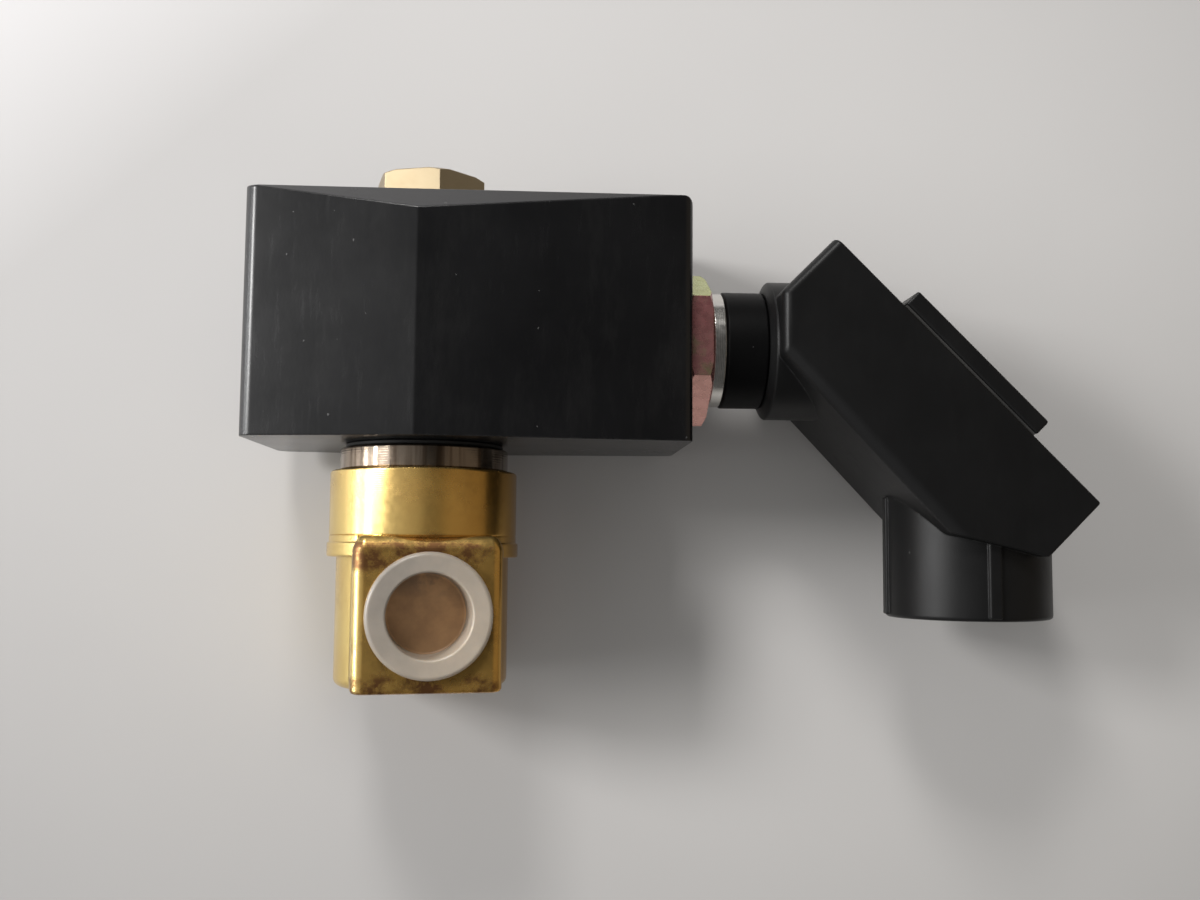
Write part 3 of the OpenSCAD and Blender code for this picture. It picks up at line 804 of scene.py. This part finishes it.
def diagonal(point, y):
    """A place in metres from a point in the diagonal axes and its y."""
    down, up = point
    return Vector(((HUB_X + (down + up) / math.sqrt(2)) * MM, y * MM,
                   (SWIVEL_Z + (up - down) / math.sqrt(2)) * MM))


def screw_holes(profile, steps):
    """Two holes square to the cover face, heights being measured from it."""
    return [lathe("hole", profile, steps,
                  Matrix.Translation(diagonal((COVER_MID + SCREW_OFFSET * side, COVER_FACE), 0))
                  @ Matrix.Rotation(math.radians(45), 4, "Y")) for side in (-1, 1)]


def elbow_box():
    box = prism("elbow_shell", BOX, -BOX_Y, BOX_Y, diagonal)
    bm = bmesh.new()
    bm.from_mesh(box.data)
    weight = bm.edges.layers.float.new("bevel_weight_edge")

    def near(vert, corner):
        place = diagonal(corner, 0)
        return abs(vert.co.x - place.x) < 1e-5 and abs(vert.co.z - place.z) < 1e-5

    # front and back edges of the upper left, left and lower left sides are eased more
    for a, b, width in ((BOX[5], BOX[0], 1.5), (BOX[4], BOX[5], 1.5), (BOX[3], BOX[4], EASE)):
        for edge in bm.edges:
            v, w = edge.verts
            if (abs(v.co.y - w.co.y) < 1e-7
                    and (near(v, a) and near(w, b) or near(v, b) and near(w, a))):
                edge[weight] = width / EASE
    bm.to_mesh(box.data)
    bm.free()
    mod = box.modifiers.new("eased", "BEVEL")
    mod.limit_method = "WEIGHT"
    mod.width = EASE * MM
    mod.segments = 5
    bake(box)
    return bevel(box, 0.5, angle=28)


def hub_rib(k):
    """Rib k of four round the hub; those at front and back are shorter."""
    outline = [(HUB_R - 1, -1.25), (HUB_R + 0.55, -1.05), (HUB_R + 0.55, 1.05), (HUB_R - 1, 1.25)]
    rib = prism("rib", outline, HUB_BOTTOM + 0.5, 30.4 if k % 2 else 33, upright)
    bevel(rib, 0.28)
    rib.data.transform(AT_HUB @ Matrix.Rotation(math.radians(90 * k - 2.1), 4, "Z"))
    return rib


def elbow():
    box = elbow_box()
    along_x = (Matrix.Translation((0, 0, SWIVEL_Z * MM))
               @ Matrix.Rotation(math.radians(90), 4, "Y"))
    # turned profiles are (radius, place along the axis)
    collar = rounded([(0, SWIVEL_X), (10.5, SWIVEL_X), (12.3, SWIVEL_X + 0.9),
                      (12.3, SWIVEL_X + 11), (0, SWIVEL_X + 11)], [0, 0.35, 0.45, 0, 0])
    hub = rounded([(0, HUB_BOTTOM), (HUB_R, HUB_BOTTOM), (HUB_R, 34.4), (0, 34.4)], [0, 0.7, 0, 0])
    solids = [lathe("collar", collar, 128, along_x), lathe("hub", hub, 160, AT_HUB)]
    combine(box, solids + [hub_rib(k) for k in range(4)], "UNION")
    inside = prism("inside", inset(BOX, 2.3), -BOX_Y + 2.2, BOX_Y - 2.2, diagonal)
    mouth = prism("mouth", rectangle(-8.4, COVER_FACE + 2, 8.4, COVER_FACE - 4), -11.5, 11.5,
                  diagonal)
    bore = [(0, HUB_BOTTOM - 2), (HUB_BORE + 0.9, HUB_BOTTOM - 2),
            (HUB_BORE + 0.95, HUB_BOTTOM - 0.05), (HUB_BORE, HUB_BOTTOM + 0.95),
            (HUB_BORE, 24.4), (HUB_BORE - 1, 24.4), (HUB_BORE - 1, 38), (0, 38)]
    swivel = [(0, SWIVEL_X - 2), (8.06, SWIVEL_X - 2), (8.06, 63.3), (9.6, 63.3), (9.6, 70),
              (0, 70)]
    combine(box, [inside, mouth, lathe("bore", bore, 96, AT_HUB),
                  lathe("swivel", swivel, 96, along_x)]
            + screw_holes([(0, -8), (1.36, -8), (1.36, 2), (0, 2)], 32))
    return tidy(box, 35)


shell = finish_piece(elbow(), "elbow", "elbow_plastic", ELBOW)
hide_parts("elbow_housing")
hub_thread = thread("hub_thread", HUB_BORE, HUB_BORE - 0.75, start=HUB_BOTTOM + 1.7, end=23.4,
                    pitch=1.81, matrix=AT_HUB)
finish_piece(hub_thread, "elbow", "elbow_plastic", ELBOW)


def cover():
    """A square plate just off the cover face, with two stepped holes."""
    outline = rectangle(COVER_MID - COVER_HALF, COVER_FACE + 0.52,
                        COVER_MID + COVER_HALF, COVER_FACE + 3.6)
    obj = bevel(prism("cover_plate", outline, -15.7, 15.7, diagonal), 0.45)
    combine(obj, screw_holes([(0, -2), (1.7, -2), (1.7, 1.9), (3.1, 1.9), (3.3, 3.7), (3.3, 6),
                              (0, 6)], 64))
    return tidy(obj, 35)


plate = finish_piece(cover(), "cover", "elbow_plastic", ELBOW)
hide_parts("elbow_cover")

# ---------------------------------------------------------------- table
TABLE_Y = 0.0209


def table_material():
    mat = new_material("table")
    broad = mat.noise(scale=3.0, detail=3, rough=0.5)
    tone = mat.mix(mat.remap(broad, span=(0.35, 0.7)),
                   (0.590, 0.578, 0.567), (0.560, 0.548, 0.537))
    # painted light and shade: paler towards the upper left, a painted pool of light, and darker
    # away from a point right of the valve, painted falloff
    place = mat.split(mat.coord)
    along = mat.plus(mat.times(place["X"], -3.0), mat.times(place["Z"], 3.4))
    tone = mat.mix(mat.remap(along, span=(-0.65, 0.75)),
                   mat.multiply(tone, (0.80, 0.795, 0.79)), mat.multiply(tone, (1.30, 1.30, 1.31)))
    tone = mat.tint(mat.remap(along, span=(0.50, 0.95)), tone, (1.85, 1.86, 1.90))
    away = mat.vector("DISTANCE", mat.coord, (0.12, TABLE_Y, 0.02))["Value"]
    tone = mat.tint(mat.remap(away, span=(0.05, 0.27)), tone, (0.53, 0.53, 0.535))
    rough = mat.noise(scale=40, detail=3, rough=0.6)
    rough = mat.remap(rough, span=(0.3, 0.7), to=(0.42, 0.55))
    surface = mat.principled(Base_Color=tone, Roughness=rough, Specular_IOR_Level=0.3)
    # the table is clear from behind and casts no shadow
    behind = mat.add("ShaderNodeNewGeometry").outputs["Backfacing"]
    shadow = mat.add("ShaderNodeLightPath").outputs["Is Shadow Ray"]
    clear = mat.add("ShaderNodeBsdfTransparent").outputs[0]
    mixer = mat.add("ShaderNodeMixShader")
    mat.put(mixer.inputs[0], mat.calc("MAXIMUM", behind, shadow))
    mat.put(mixer.inputs[1], surface)
    mat.put(mixer.inputs[2], clear)
    return mat.finish(mixer.outputs[0])


table = build_mesh("table", [(x, TABLE_Y, z) for x, z in rectangle(-2, -2, 2, 2)], [(0, 1, 2, 3)])
if table.data.polygons[0].normal.y > 0:
    table.data.flip_normals()
table.data.materials.append(table_material())

# ---------------------------------------------------------------- world
# (place from left to right, brightness) of the room that reflections see
ROOM = [(0.0, 0.80), (0.27, 0.42), (0.47, 0.27), (0.585, 0.03), (0.67, 0.035), (0.84, 0.24),
        (1.0, 0.26)]


def room_colour(position, value):
    """Grey on the left, warmer towards the right."""
    warm = min(1.0, max(0.0, (position - 0.5) / 0.3))
    return value, value * (1 - 0.16 * warm), value * (1 - 0.34 * warm)


def studio_world():
    world = bpy.data.worlds.new("studio")
    scene.world = world
    sky = Nodes(world, "ShaderNodeOutputWorld", "Generated")
    background = sky.add("ShaderNodeBackground")
    rightward = sky.remap(sky.split(sky.coord)["X"], span=(-1, 1))
    diffuse = sky.ramp(rightward, [(0.0, (0.62, 0.62, 0.61)), (1.0, (0.22, 0.215, 0.21))])
    glossy = sky.ramp(rightward, [(position, room_colour(position, value))
                                  for position, value in ROOM], "EASE")
    ray = sky.add("ShaderNodeLightPath").outputs
    seen = sky.mix(ray["Is Glossy Ray"], diffuse, glossy)
    seen = sky.mix(ray["Is Camera Ray"], seen, (0.66, 0.655, 0.64))
    sky.put(background.inputs["Color"], seen)
    background.inputs["Strength"].default_value = 0.85
    sky.finish(background.outputs[0])


studio_world()

# ---------------------------------------------------------------- lights
LIGHT_TARGET = Vector((0.04, 0.0, 0.045))


def area(name, direction, distance, width, power, height=None, colour=(1, 1, 1)):
    """An area light that looks at the target from the given direction."""
    light = bpy.data.lights.new(name, "AREA")
    light.shape = "RECTANGLE"
    light.size = width
    light.size_y = height or width
    light.energy = power
    light.color = colour
    obj = bpy.data.objects.new(name, light)
    scene.collection.objects.link(obj)
    away = Vector(direction).normalized()
    obj.location = LIGHT_TARGET + away * distance
    obj.rotation_mode = "QUATERNION"
    obj.rotation_quaternion = away.to_track_quat("Z", "Y")
    return obj


area("key", (-0.20, -0.60, 0.77), distance=0.75, width=0.17, power=2.7,
     colour=(1.0, 0.985, 0.965))
area("side", (-0.781, -0.568, 0.24), distance=0.90, width=0.20, power=4.4,
     colour=(1.0, 0.99, 0.98))
area("window", (-0.90, -0.42, 0.08), distance=1.2, width=0.9, height=0.6, power=2.2,
     colour=(0.98, 0.99, 1.0))
# upright strips; the angle in degrees runs from the front towards the left
for name, angle, width, power in (("strip_81", 81, 0.05, 1.3), ("strip_65", 65.5, 0.07, 2.4)):
    turn = math.radians(angle)
    area(name, (-math.sin(turn), -math.cos(turn), 0.03), distance=1.05, width=width, height=0.5,
         power=power)
ceiling = area("ceiling", (-0.20, -0.52, 0.84), distance=1.2, width=0.9, height=0.5, power=1.15,
               colour=(1, 0.99, 0.97))
back_fill = area("back_fill", (0.2, 0.95, 0.45), distance=1.4, width=0.8, power=2.5)
for light in (ceiling, back_fill):
    light.visible_glossy = False


# ---------------------------------------------------------------- camera
def camera_matrix(place, about_right, about_down, about_ahead):
    """A camera that looks along +Y, turned by degrees about its right, down and ahead axes."""
    (cx, sx), (cy, sy), (cz, sz) = [(math.cos(math.radians(a)), math.sin(math.radians(a)))
                                    for a in (about_right, about_down, about_ahead)]
    turn_right = Matrix(((1, 0, 0), (0, cx, -sx), (0, sx, cx)))
    turn_down = Matrix(((cy, 0, sy), (0, 1, 0), (-sy, 0, cy)))
    turn_ahead = Matrix(((cz, -sz, 0), (sz, cz, 0), (0, 0, 1)))
    level = Matrix(((1, 0, 0), (0, 0, -1), (0, 1, 0)))
    right, down, ahead = turn_ahead @ turn_down @ turn_right @ level
    matrix = Matrix((right, -down, -ahead)).transposed().to_4x4()
    matrix.translation = Vector(place) * MM
    return matrix


camera_data = bpy.data.cameras.new("camera")
camera_data.sensor_fit = "HORIZONTAL"
camera_data.sensor_width = 36.0
camera_data.lens = 35.01
camera_data.clip_start, camera_data.clip_end = 0.01, 20
camera = bpy.data.objects.new("camera", camera_data)
scene.collection.objects.link(camera)
camera.matrix_world = camera_matrix((19.62, -205.81, 23.73), about_right=-4.763,
                                    about_down=-3.092, about_ahead=0.721)
scene.camera = camera
scene.view_settings.view_transform = "Standard"
scene.view_settings.look = "None"
scene.view_settings.exposure = 0.0

bpy.context.view_layer.update()
